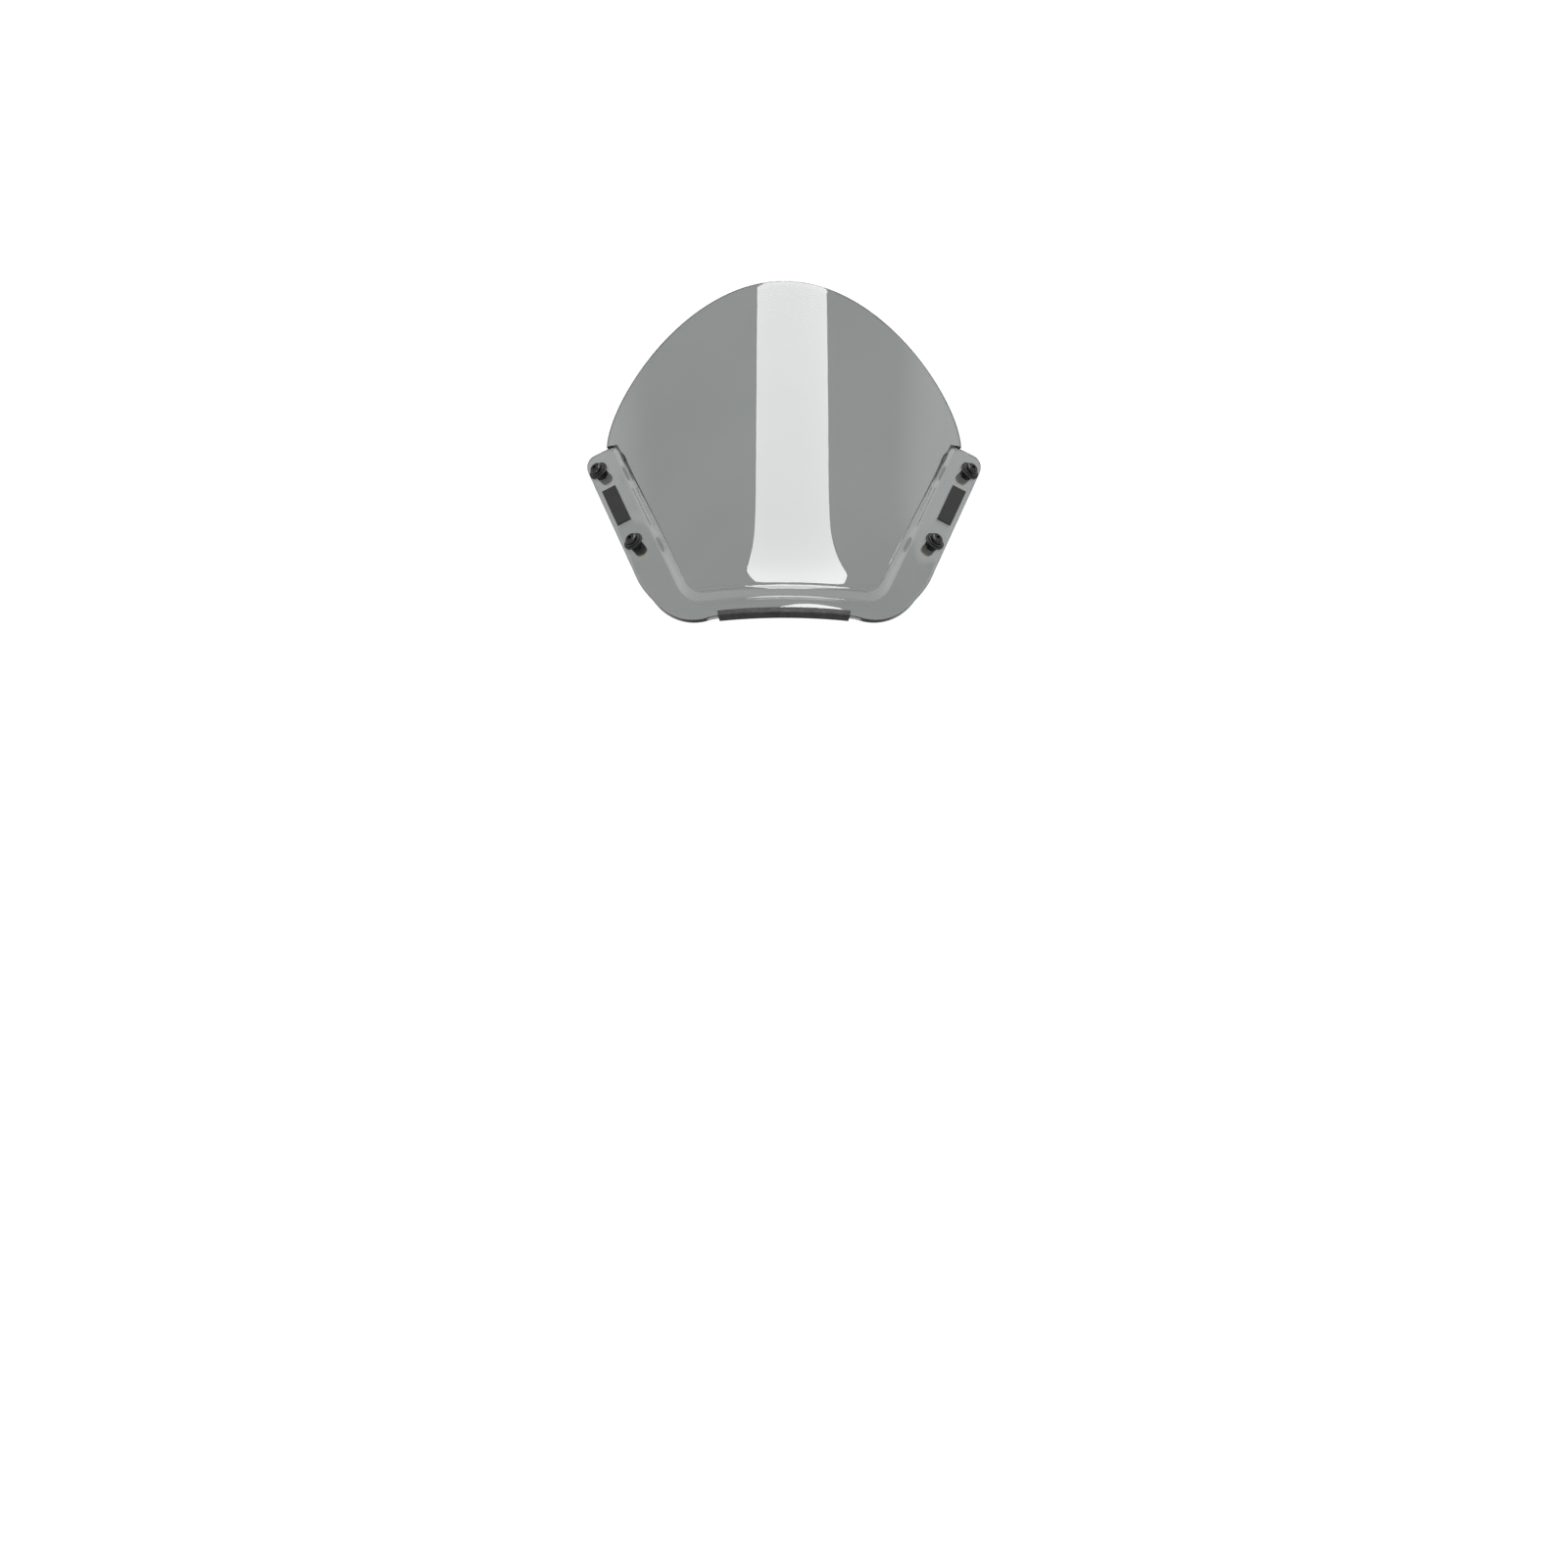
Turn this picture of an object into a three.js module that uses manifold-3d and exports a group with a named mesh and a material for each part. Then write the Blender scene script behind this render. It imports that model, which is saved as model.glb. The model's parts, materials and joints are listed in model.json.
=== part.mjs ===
// A clear windshield screen for a sport motorcycle, with the fixings that hold it under a cowl.
//
// Millimetres. +X is to one side, +Y is rearward and +Z is up. The origin is the middle of the flat
// seat on the lower lip, and the screen is symmetric about X = 0.
//
// The sheet is laid out in front view, where a point has a half width x and a height z, and a depth
// formula gives its y. Its outline starts from the seam, the line where the edge of the cowl lies on
// the sheet. Below and outside the seam is the flange, which goes under the cowl. Inside the seam a
// riser steps the sheet forward to the bubble, which ends at the free edge.

import * as THREE from 'three';
import { mergeVertices } from 'three/addons/utils/BufferGeometryUtils.js';
import Module from 'manifold-3d';

const wasm = await Module();
wasm.setup();

// Sheet
const SHEET = 3; // thickness of the acrylic
const GAP = 0.3; // clearance between pieces that rest on each other

// Bubble: how far the sheet leans back, and its section from side to side, a hyperbola
const LEAN = 0.9965; // rearward run for each millimetre of height
const LEAN_GAIN = 0.0003; // growth of that run with height
const FLARE = { run: 14.5, height: 24 }; // the foot sweeps forward by this run over this height
// Depth of the hyperbola that rounds the nose, at the seam, and the share it loses with each mm of height
const NOSE = { depth: 145, taper: 0.0012 };
const SIDE_SLOPE = 1.3; // slope that the sides run out to

// Seam, as a route in front view from the middle of its foot up one side
const FOOT_RUN = 57; // from the middle to the corner
const FOOT_ARCH = 409; // radius of the foot, which arches up in the middle
const CORNER_RADIUS = 20;
const SIDE_ANGLE = THREE.MathUtils.degToRad(62.5); // of the side above the horizontal
const SIDE_RUN = 110;

// Free edge, as one cubic curve in front view from the top to the shoulder
const TOP_HEIGHT = 228;
const TOP_REACH = 74; // of the handle at the top, along X
const SHOULDER = { x: 131.5, z: 104 };
const SHOULDER_PULL = { x: -0.5, z: 34 }; // of the handle at the shoulder

// Riser between the flange and the bubble, at the foot and at the shoulder
const RISER_FOOT = { width: 9, step: 10 };
const RISER_TIP = { width: 5, step: 5 };

// Flange
const LIP_WIDTH = 10; // below the foot
const WING_WIDTH = 24; // outside the sides
const WING_START = 50; // run where the lip starts to widen
const WING_FULL = 100; // run where it has its full width
const WING_ROUND = 9; // radius of the wing's end
const LIP_SEAT = 3.75; // from the seam down to the seat at the origin

// Fixing holes, by their run along the side from the corner and their distance outside the seam
const HOLES = {
  upper: { run: 98, out: 16 },
  lower: { run: 41, out: 14.5 },
};
const HOLE_RADIUS = 5;
const PAD_FLAT = 13; // radius of the flat pad round a hole, in front view
const PAD_FADE = 22; // radius where the pad has run out into the curve

// Well nut: a rubber sleeve with a collar, and a brass insert in its far end
const COLLAR_RADIUS = 7.5;
const COLLAR_HEIGHT = 1.5;
const SLEEVE_RADIUS = 4.7;
const SLEEVE_LENGTH = 12;
const SLEEVE_BORE = 2.9;
const INSERT_RADIUS = 3.5;
const INSERT_LENGTH = 7;
const INSERT_BORE = 2.8;
const INSERT_RIM = { radius: 4.5, height: 1.2 };

// Nylon washer and M5 button-head screw
const WASHER = { radius: 6, bore: 2.8, height: 1, edge: 0.3 };
const SCREW = { radius: 2.5, length: 16, tip: 0.6 };
const HEAD = { radius: 4.75, height: 2.75, rim: 0.7, crown: 2.2 };
const SOCKET = { radius: 1.73, depth: 1.6 };

// Edge trim on the lip and damper pads on the wings
const TRIM = { halfRun: 48, grip: 5, wall: 1.2 };
const DAMPER = { height: 1.5, inner: 9, outer: 20, clear: 15 };

// Fineness of the facets
const ROUND_STEPS = 20;
const COLUMNS = { middle: 4, foot: 6, corner: 6, side: 13, tip: 4 };
const ROWS = { flange: 4, riser: 5, bubble: 10 };

const footTurn = FOOT_RUN / FOOT_ARCH;
const cornerRun = CORNER_RADIUS * (footTurn + SIDE_ANGLE);
const sideStart = FOOT_RUN + cornerRun;
const seamHalf = sideStart + SIDE_RUN;

const material = {
  acrylic: new THREE.MeshStandardMaterial({
    color: 0x555b59, roughness: 0.05, metalness: 0, transparent: true, opacity: 0.65,
  }),
  rubber: new THREE.MeshStandardMaterial({ color: 0x161717, roughness: 0.85, metalness: 0 }),
  foam: new THREE.MeshStandardMaterial({ color: 0x232425, roughness: 0.95, metalness: 0 }),
  nylon: new THREE.MeshStandardMaterial({ color: 0x1d1e1f, roughness: 0.5, metalness: 0 }),
  brass: new THREE.MeshStandardMaterial({ color: 0xb5924c, roughness: 0.35, metalness: 1 }),
  steel: new THREE.MeshStandardMaterial({ color: 0x2b2c2e, roughness: 0.4, metalness: 0.9 }),
};

function smooth(value, from, to) {
  return THREE.MathUtils.smoothstep(value, from, to);
}

// Place on the seam at a signed run from its middle, with the direction towards the bubble
function seamAt(run) {
  const side = Math.sign(run);
  const length = Math.abs(run);
  const foot = { x: FOOT_ARCH * Math.sin(footTurn), z: -FOOT_ARCH * (1 - Math.cos(footTurn)) };
  const centre = {
    x: foot.x + CORNER_RADIUS * Math.sin(footTurn),
    z: foot.z + CORNER_RADIUS * Math.cos(footTurn),
  };
  let x;
  let z;
  let heading;
  if (length <= FOOT_RUN) {
    heading = -length / FOOT_ARCH;
    x = -FOOT_ARCH * Math.sin(heading);
    z = -FOOT_ARCH * (1 - Math.cos(heading));
  } else {
    heading = Math.min((length - FOOT_RUN) / CORNER_RADIUS - footTurn, SIDE_ANGLE);
    const beyond = Math.max(length - sideStart, 0);
    x = centre.x + CORNER_RADIUS * Math.sin(heading) + beyond * Math.cos(heading);
    z = centre.z - CORNER_RADIUS * Math.cos(heading) + beyond * Math.sin(heading);
  }
  return { x: side * x, z, inX: -side * Math.sin(heading), inZ: Math.cos(heading) };
}

const edgeCurve = new THREE.CubicBezierCurve(
  new THREE.Vector2(0, TOP_HEIGHT),
  new THREE.Vector2(TOP_REACH, TOP_HEIGHT),
  new THREE.Vector2(SHOULDER.x + SHOULDER_PULL.x, SHOULDER.z + SHOULDER_PULL.z),
  new THREE.Vector2(SHOULDER.x, SHOULDER.z),
);

function freeEdgeAt(run) {
  const point = edgeCurve.getPointAt(Math.abs(run) / seamHalf);
  return { x: Math.sign(run) * point.x, z: point.y };
}

function bubbleDepth(x, z) {
  const profile = LEAN * z + LEAN_GAIN * z * z + FLARE.run * Math.tanh(z / FLARE.height);
  const nose = NOSE.depth * (1 - NOSE.taper * z);
  return profile + Math.hypot(nose, SIDE_SLOPE * x) - nose;
}

// The plane that touches the bubble's formula at a fixing hole, from its slopes over one millimetre
function padPlane(hole) {
  const slopeX = bubbleDepth(hole.x + 0.5, hole.z) - bubbleDepth(hole.x - 0.5, hole.z);
  const slopeZ = bubbleDepth(hole.x, hole.z + 0.5) - bubbleDepth(hole.x, hole.z - 0.5);
  const depth = bubbleDepth(hole.x, hole.z);
  return (x, z) => depth + slopeX * (x - hole.x) + slopeZ * (z - hole.z);
}

function holeCentre(hole) {
  const line = seamAt(sideStart + hole.run);
  return { x: line.x - line.inX * hole.out, z: line.z - line.inZ * hole.out };
}

const pads = Object.values(HOLES).map((hole) => {
  const centre = holeCentre(hole);
  return { centre, plane: padPlane(centre) };
});

function depthAt(x, z) {
  let depth = bubbleDepth(x, z);
  for (const pad of pads) {
    const away = Math.hypot(Math.abs(x) - pad.centre.x, z - pad.centre.z);
    const share = 1 - smooth(away, PAD_FLAT, PAD_FADE);
    depth += share * (pad.plane(Math.abs(x), z) - depth);
  }
  return depth;
}

function flangeWidth(run) {
  const length = Math.abs(run);
  const full = LIP_WIDTH + (WING_WIDTH - LIP_WIDTH) * smooth(length, WING_START, WING_FULL);
  const short = Math.max(WING_ROUND - (seamHalf - length), 0);
  return full - WING_ROUND + Math.sqrt(WING_ROUND ** 2 - short ** 2);
}

function riserAt(run) {
  const share = Math.max(Math.abs(run) - FOOT_RUN, 0) / (seamHalf - FOOT_RUN);
  return {
    width: RISER_FOOT.width + share * (RISER_TIP.width - RISER_FOOT.width),
    step: RISER_FOOT.step + share * (RISER_TIP.step - RISER_FOOT.step),
  };
}

// Middle of the sheet. across runs from -1 at the flange's outer edge to 0 at the seam, 1 at the top
// of the riser and 2 at the free edge.
function sheetMiddle(run, across) {
  const line = seamAt(run);
  const riser = riserAt(run);
  const inward = across < 0 ? across * flangeWidth(run) : Math.min(across, 1) * riser.width;
  let x = line.x + line.inX * inward;
  let z = line.z + line.inZ * inward;
  if (across > 1) {
    const edge = freeEdgeAt(run);
    x += (across - 1) * (edge.x - x);
    z += (across - 1) * (edge.z - z);
  }
  const step = riser.step * (1 - smooth(across, 0, 1));
  return new THREE.Vector3(x, depthAt(x, z) + step, z);
}

const PROBE = { run: 0.2, across: 0.01 };

function sheetNormal(run, across) {
  const before = sheetMiddle(Math.max(run - PROBE.run, -seamHalf), across);
  const after = sheetMiddle(Math.min(run + PROBE.run, seamHalf), across);
  const outside = sheetMiddle(run, Math.max(across - PROBE.across, -1));
  const inside = sheetMiddle(run, Math.min(across + PROBE.across, 2));
  return after.sub(before).cross(inside.sub(outside)).normalize();
}

// A point at a height above the middle of the sheet, on its outward side
function sheetPoint(run, across, height) {
  return sheetMiddle(run, across).addScaledVector(sheetNormal(run, across), height);
}

function steps(from, to, count) {
  return Array.from({ length: count + 1 }, (_, index) => from + (to - from) * index / count);
}

function toGeometry(positions, indices) {
  const geometry = new THREE.BufferGeometry();
  geometry.setAttribute('position', new THREE.Float32BufferAttribute(positions, 3));
  geometry.setIndex(indices);
  return geometry;
}

// A closed body between two equal grids of points, upper and lower, each a list of columns
function slab(upper, lower) {
  const columns = upper.length;
  const rows = upper[0].length;
  const positions = [...upper.flat(), ...lower.flat()].flatMap((point) => point.toArray());
  const indices = [];
  const top = (column, row) => column * rows + row;
  const under = (column, row) => columns * rows + top(column, row);
  const quad = (a, b, c, d) => indices.push(a, b, c, a, c, d);
  for (let column = 0; column < columns - 1; column += 1) {
    for (let row = 0; row < rows - 1; row += 1) {
      quad(top(column, row), top(column + 1, row), top(column + 1, row + 1), top(column, row + 1));
      quad(under(column, row), under(column, row + 1), under(column + 1, row + 1), under(column + 1, row));
    }
    quad(top(column + 1, 0), top(column, 0), under(column, 0), under(column + 1, 0));
    const last = rows - 1;
    quad(top(column, last), top(column + 1, last), under(column + 1, last), under(column, last));
  }
  for (let row = 0; row < rows - 1; row += 1) {
    const last = columns - 1;
    quad(top(0, row), top(0, row + 1), under(0, row + 1), under(0, row));
    quad(top(last, row + 1), top(last, row), under(last, row), under(last, row + 1));
  }
  return toGeometry(positions, indices);
}

function slabOnSheet(runs, acrossRows, low, high) {
  const column = (run, height) => acrossRows(run).map((across) => sheetPoint(run, across, height));
  const grid = (height) => runs.map((run) => column(run, height));
  return slab(grid(high), grid(low));
}

// A closed body swept through equal rings of points, with a flat cap at each end
function loft(rings, outline) {
  const count = outline.length;
  const positions = rings.flat().flatMap((point) => point.toArray());
  const indices = [];
  for (let ring = 0; ring < rings.length - 1; ring += 1) {
    for (let index = 0; index < count; index += 1) {
      const next = (index + 1) % count;
      const a = ring * count + index;
      const b = ring * count + next;
      indices.push(a, b, b + count, a, b + count, a + count);
    }
  }
  const last = (rings.length - 1) * count;
  for (const [a, b, c] of THREE.ShapeUtils.triangulateShape(outline, [])) {
    indices.push(a, c, b, last + a, last + b, last + c);
  }
  return toGeometry(positions, indices);
}

function toSolid(geometry) {
  const bare = geometry.clone();
  bare.deleteAttribute('normal');
  bare.deleteAttribute('uv');
  const merged = mergeVertices(bare, 1e-4);
  return new wasm.Manifold(new wasm.Mesh({
    numProp: 3,
    vertProperties: new Float32Array(merged.attributes.position.array),
    triVerts: new Uint32Array(merged.index.array),
  }));
}

function fromSolid(solid) {
  const mesh = solid.getMesh();
  return toGeometry(mesh.vertProperties, Array.from(mesh.triVerts));
}

function cut(geometry, tools) {
  let solid = toSolid(geometry);
  for (const tool of tools) {
    solid = solid.subtract(toSolid(tool));
  }
  return fromSolid(solid);
}

// A body turned about +Z from [radius, height] points, which run anticlockwise round its section
function turned(points) {
  const profile = points.map(([radius, height]) => new THREE.Vector2(radius, height));
  return new THREE.LatheGeometry(profile, ROUND_STEPS).rotateX(Math.PI / 2);
}

// Where a fixing stands: the middle of its hole on the pad's outer face, with +Z out of the face
function fixingPlace(hole, side) {
  const run = side * (sideStart + hole.run);
  const across = -hole.out / flangeWidth(run);
  const place = new THREE.Object3D();
  place.position.copy(sheetPoint(run, across, SHEET / 2));
  place.quaternion.setFromUnitVectors(new THREE.Vector3(0, 0, 1), sheetNormal(run, across));
  place.updateMatrix();
  return place;
}

function columnRuns() {
  const half = [
    ...steps(COLUMNS.middle, FOOT_RUN, COLUMNS.foot),
    ...steps(FOOT_RUN, sideStart, COLUMNS.corner).slice(1),
    ...steps(sideStart, seamHalf - WING_ROUND, COLUMNS.side).slice(1),
    ...steps(0, Math.PI / 2, COLUMNS.tip).slice(1)
      .map((angle) => seamHalf - WING_ROUND + WING_ROUND * Math.sin(angle)),
  ];
  return [...half.map((run) => -run).reverse(), ...half];
}

function windshieldScreen(places) {
  const rows = [
    ...steps(-1, 0, ROWS.flange),
    ...steps(0, 1, ROWS.riser).slice(1),
    ...steps(1, 2, ROWS.bubble).slice(1),
  ];
  const sheet = slabOnSheet(columnRuns(), () => rows, -SHEET / 2, SHEET / 2);
  const drills = places.map((place) => {
    const drill = new THREE.CylinderGeometry(HOLE_RADIUS, HOLE_RADIUS, 6 * SHEET, ROUND_STEPS);
    return drill.rotateX(Math.PI / 2).applyMatrix4(place.matrix);
  });
  return cut(sheet, drills);
}

// Rubber channel that grips the edge of the lip. Its section is given by how far each corner lies
// below the lip's edge and how far it stands off the middle of the sheet.
function edgeTrim() {
  const inner = SHEET / 2 + GAP;
  const outer = inner + TRIM.wall;
  const section = [
    [GAP, inner], [GAP, -inner], [-TRIM.grip, -inner], [-TRIM.grip, -outer],
    [GAP + TRIM.wall, -outer], [GAP + TRIM.wall, outer], [-TRIM.grip, outer], [-TRIM.grip, inner],
  ].map(([below, off]) => new THREE.Vector2(below, off));
  const rings = steps(TRIM.halfRun, -TRIM.halfRun, 2 * COLUMNS.side).map((run) => {
    const edge = sheetMiddle(run, -1);
    const normal = sheetNormal(run, -1);
    const down = edge.clone().sub(sheetMiddle(run, -1 + PROBE.across)).normalize();
    return section.map((corner) => edge.clone()
      .addScaledVector(down, corner.x)
      .addScaledVector(normal, corner.y));
  });
  return loft(rings, section);
}

// Foam pad on the wing between its two fixings, where the cowl would rattle
function damperPad(side) {
  const from = sideStart + HOLES.lower.run + DAMPER.clear;
  const to = sideStart + HOLES.upper.run - DAMPER.clear;
  const runs = steps(from, to, COLUMNS.foot).map((run) => side * run);
  const rows = (run) => steps(-DAMPER.outer, -DAMPER.inner, 2).map((out) => out / flangeWidth(run));
  const low = SHEET / 2 + GAP;
  return slabOnSheet(side > 0 ? runs : runs.reverse(), rows, low, low + DAMPER.height);
}

function wellNutRubber() {
  const top = GAP + COLLAR_HEIGHT;
  const pocket = INSERT_RADIUS + GAP;
  const bottom = GAP - SLEEVE_LENGTH;
  const shoulder = bottom + INSERT_LENGTH - GAP;
  return turned([
    [SLEEVE_BORE, top], [SLEEVE_BORE, shoulder], [pocket, shoulder], [pocket, bottom],
    [SLEEVE_RADIUS - GAP, bottom], [SLEEVE_RADIUS, bottom + GAP], [SLEEVE_RADIUS, GAP],
    [COLLAR_RADIUS, GAP], [COLLAR_RADIUS, top - GAP], [COLLAR_RADIUS - GAP, top], [SLEEVE_BORE, top],
  ]);
}

function wellNutInsert() {
  const rimTop = -SLEEVE_LENGTH;
  const bottom = rimTop - INSERT_RIM.height;
  const top = rimTop + INSERT_LENGTH - GAP;
  return turned([
    [INSERT_BORE, top], [INSERT_BORE, bottom], [INSERT_RIM.radius, bottom],
    [INSERT_RIM.radius, rimTop], [INSERT_RADIUS, rimTop], [INSERT_RADIUS, top], [INSERT_BORE, top],
  ]);
}

const washerFoot = GAP + COLLAR_HEIGHT + GAP;
const headFoot = washerFoot + WASHER.height + GAP;

function nylonWasher() {
  const top = washerFoot + WASHER.height;
  return turned([
    [WASHER.bore, top], [WASHER.bore, washerFoot], [WASHER.radius, washerFoot],
    [WASHER.radius, top - WASHER.edge], [WASHER.radius - WASHER.edge, top], [WASHER.bore, top],
  ]);
}

function buttonScrew() {
  const tip = headFoot - SCREW.length;
  const dome = steps(0, Math.PI / 2, 4).map((angle) => [
    HEAD.crown + (HEAD.radius - HEAD.crown) * Math.cos(angle),
    headFoot + HEAD.rim + (HEAD.height - HEAD.rim) * Math.sin(angle),
  ]);
  const body = turned([
    [0, tip], [SCREW.radius - SCREW.tip, tip], [SCREW.radius, tip + SCREW.tip],
    [SCREW.radius, headFoot], [HEAD.radius, headFoot], ...dome, [0, headFoot + HEAD.height],
  ]);
  const socket = new THREE.CylinderGeometry(SOCKET.radius, SOCKET.radius, 2 * SOCKET.depth, 6);
  socket.rotateX(Math.PI / 2).translate(0, 0, headFoot + HEAD.height);
  return cut(body, [socket]);
}

function named(name, geometry, finish) {
  const mesh = new THREE.Mesh(geometry, finish);
  mesh.name = name;
  return mesh;
}

// One fixing, standing along +Z on its pad
function fixing(label) {
  const group = new THREE.Group();
  group.add(
    named(`screw_${label}`, buttonScrew(), material.steel),
    named(`washer_${label}`, nylonWasher(), material.nylon),
    named(`well_nut_rubber_${label}`, wellNutRubber(), material.rubber),
    named(`well_nut_insert_${label}`, wellNutInsert(), material.brass),
  );
  return group;
}

const screen = new THREE.Group();
const SIDES = { left: -1, right: 1 };
const places = [];
for (const [sideName, side] of Object.entries(SIDES)) {
  for (const [levelName, hole] of Object.entries(HOLES)) {
    const place = fixingPlace(hole, side);
    const group = fixing(`${levelName}_${sideName}`);
    group.position.copy(place.position);
    group.quaternion.copy(place.quaternion);
    screen.add(group);
    places.push(place);
  }
  screen.add(named(`damper_pad_${sideName}`, damperPad(side), material.foam));
}
screen.add(named('windshield_screen', windshieldScreen(places), material.acrylic));
screen.add(named('lower_edge_trim', edgeTrim(), material.rubber));
screen.position.copy(sheetPoint(0, -LIP_SEAT / LIP_WIDTH, SHEET / 2)).negate();

export default screen;
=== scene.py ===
"""A smoked windshield screen for a sport motorcycle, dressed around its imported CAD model.

The sheet is worked out from the same driving dimensions as the CAD part, in millimetres: a point has
a half width x and a height z in front view, and a depth formula gives its y. The seam is the line
where the cowl's edge lies on the sheet, with the flange outside it and the riser and bubble inside.
The frame's origin is the seat on the lower lip, and each fixing stands on its own joint's axis.
"""

import json
import math

import bmesh
import bpy
import numpy as np
from mathutils import Matrix, Vector

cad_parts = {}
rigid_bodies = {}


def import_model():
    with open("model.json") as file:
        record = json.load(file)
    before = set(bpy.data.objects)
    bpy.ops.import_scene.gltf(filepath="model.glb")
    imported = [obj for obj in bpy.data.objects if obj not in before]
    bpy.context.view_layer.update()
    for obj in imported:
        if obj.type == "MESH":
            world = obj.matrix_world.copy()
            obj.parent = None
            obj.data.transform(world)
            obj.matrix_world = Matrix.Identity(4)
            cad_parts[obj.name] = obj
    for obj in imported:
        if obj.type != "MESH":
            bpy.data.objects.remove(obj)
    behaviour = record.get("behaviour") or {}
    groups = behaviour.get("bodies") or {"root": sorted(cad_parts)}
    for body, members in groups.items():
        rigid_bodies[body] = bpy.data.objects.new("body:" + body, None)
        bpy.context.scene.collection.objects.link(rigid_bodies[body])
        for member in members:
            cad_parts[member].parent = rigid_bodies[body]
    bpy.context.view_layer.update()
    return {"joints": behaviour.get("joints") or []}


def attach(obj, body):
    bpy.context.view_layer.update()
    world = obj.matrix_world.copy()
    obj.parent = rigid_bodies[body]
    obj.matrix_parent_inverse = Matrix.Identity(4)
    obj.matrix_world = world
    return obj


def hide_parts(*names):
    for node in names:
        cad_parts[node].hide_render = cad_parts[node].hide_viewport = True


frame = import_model()
MM = 0.001
JOINTS = {joint["name"]: joint for joint in frame["joints"]}

# ---------------------------------------------------------------- driving dimensions, millimetres

SHEET = 3.0  # thickness
EDGE_ROUND = 0.8
LEAN = 0.9965  # depth for each millimetre of height
LEAN_GAIN = 0.0003
FLARE_RUN = 14.5
FLARE_HEIGHT = 24.0
NOSE_DEPTH = 145.0
NOSE_TAPER = 0.0012
SIDE_SLOPE = 1.3
FOOT_RUN = 57.0
FOOT_ARCH = 409.0
CORNER_RADIUS = 20.0
SIDE_ANGLE = math.radians(62.5)
SIDE_RUN = 110.0
EDGE_HANDLES = ((0, 228), (74, 228), (131, 138), (131.5, 104))
RISER_FOOT = (9.0, 10.0)  # width and step of the riser at the seam's middle
RISER_TIP = (5.0, 5.0)
CREST_RISE = 0.22
CREST_REACH = 1.8
LIP_WIDTH = 10.0
WING_WIDTH = 24.0
WING_START = 50.0
WING_FULL = 100.0
WING_ROUND = 9.0
LIP_SEAT = 3.75
HOLES = ((98.0, 16.0), (41.0, 14.5))  # run up the seam's side, and distance out from it
HOLE_RADIUS = 5.0
HOLE_CHAMFER = 0.35
PAD_FLAT = 13.0
PAD_FADE = 22.0

FOOT_TURN = FOOT_RUN / FOOT_ARCH
CORNER_RUN = CORNER_RADIUS * (FOOT_TURN + SIDE_ANGLE)
SIDE_START = FOOT_RUN + CORNER_RUN
SEAM_HALF = SIDE_START + SIDE_RUN

# ---------------------------------------------------------------- the sheet's formulas


def smooth(value, low, high):
    share = np.clip((value - low) / (high - low), 0, 1)
    return share * share * (3 - 2 * share)


def seam_at(run):
    """x and z on the seam at a signed run, with the direction towards the bubble."""
    side = np.sign(run)
    length = np.abs(run)
    foot_x = FOOT_ARCH * math.sin(FOOT_TURN)
    foot_z = -FOOT_ARCH * (1 - math.cos(FOOT_TURN))
    centre_x = foot_x + CORNER_RADIUS * math.sin(FOOT_TURN)
    centre_z = foot_z + CORNER_RADIUS * math.cos(FOOT_TURN)
    turning = np.minimum((length - FOOT_RUN) / CORNER_RADIUS - FOOT_TURN, SIDE_ANGLE)
    on_foot = length <= FOOT_RUN
    heading = np.where(on_foot, -length / FOOT_ARCH, turning)
    beyond = np.maximum(length - SIDE_START, 0)
    x = np.where(
        on_foot,
        -FOOT_ARCH * np.sin(heading),
        centre_x + CORNER_RADIUS * np.sin(heading) + beyond * np.cos(heading),
    )
    z = np.where(
        on_foot,
        -FOOT_ARCH * (1 - np.cos(heading)),
        centre_z - CORNER_RADIUS * np.cos(heading) + beyond * np.sin(heading),
    )
    return side * x, z, -side * np.sin(heading), np.cos(heading)


def edge_table(samples=400):
    """Share of the free edge's length against x and z, from the top to the shoulder."""
    t = np.linspace(0, 1, samples)[:, None]
    a, b, c, d = (np.array(handle, float) for handle in EDGE_HANDLES)
    points = (1 - t) ** 3 * a + 3 * (1 - t) ** 2 * t * b + 3 * (1 - t) * t**2 * c + t**3 * d
    lengths = np.concatenate([[0], np.cumsum(np.linalg.norm(np.diff(points, axis=0), axis=1))])
    return lengths / lengths[-1], points


EDGE_SHARE, EDGE_POINTS = edge_table()


def free_edge_at(run):
    share = np.abs(run) / SEAM_HALF
    x = np.interp(share, EDGE_SHARE, EDGE_POINTS[:, 0])
    z = np.interp(share, EDGE_SHARE, EDGE_POINTS[:, 1])
    return np.sign(run) * x, z


def bubble_depth(x, z):
    profile = LEAN * z + LEAN_GAIN * z * z + FLARE_RUN * np.tanh(z / FLARE_HEIGHT)
    nose = NOSE_DEPTH * (1 - NOSE_TAPER * z)
    return profile + np.hypot(nose, SIDE_SLOPE * x) - nose


def depth_at(x, z):
    """The bubble's depth, made flat round each fixing hole."""
    depth = bubble_depth(x, z)
    for run, out in HOLES:
        line_x, line_z, in_x, in_z = seam_at(np.float64(SIDE_START + run))
        hole_x = line_x - in_x * out
        hole_z = line_z - in_z * out
        slope_x = bubble_depth(hole_x + 0.5, hole_z) - bubble_depth(hole_x - 0.5, hole_z)
        slope_z = bubble_depth(hole_x, hole_z + 0.5) - bubble_depth(hole_x, hole_z - 0.5)
        across = np.abs(x) - hole_x
        plane = bubble_depth(hole_x, hole_z) + slope_x * across + slope_z * (z - hole_z)
        share = 1 - smooth(np.hypot(across, z - hole_z), PAD_FLAT, PAD_FADE)
        depth = depth + share * (plane - depth)
    return depth


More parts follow.
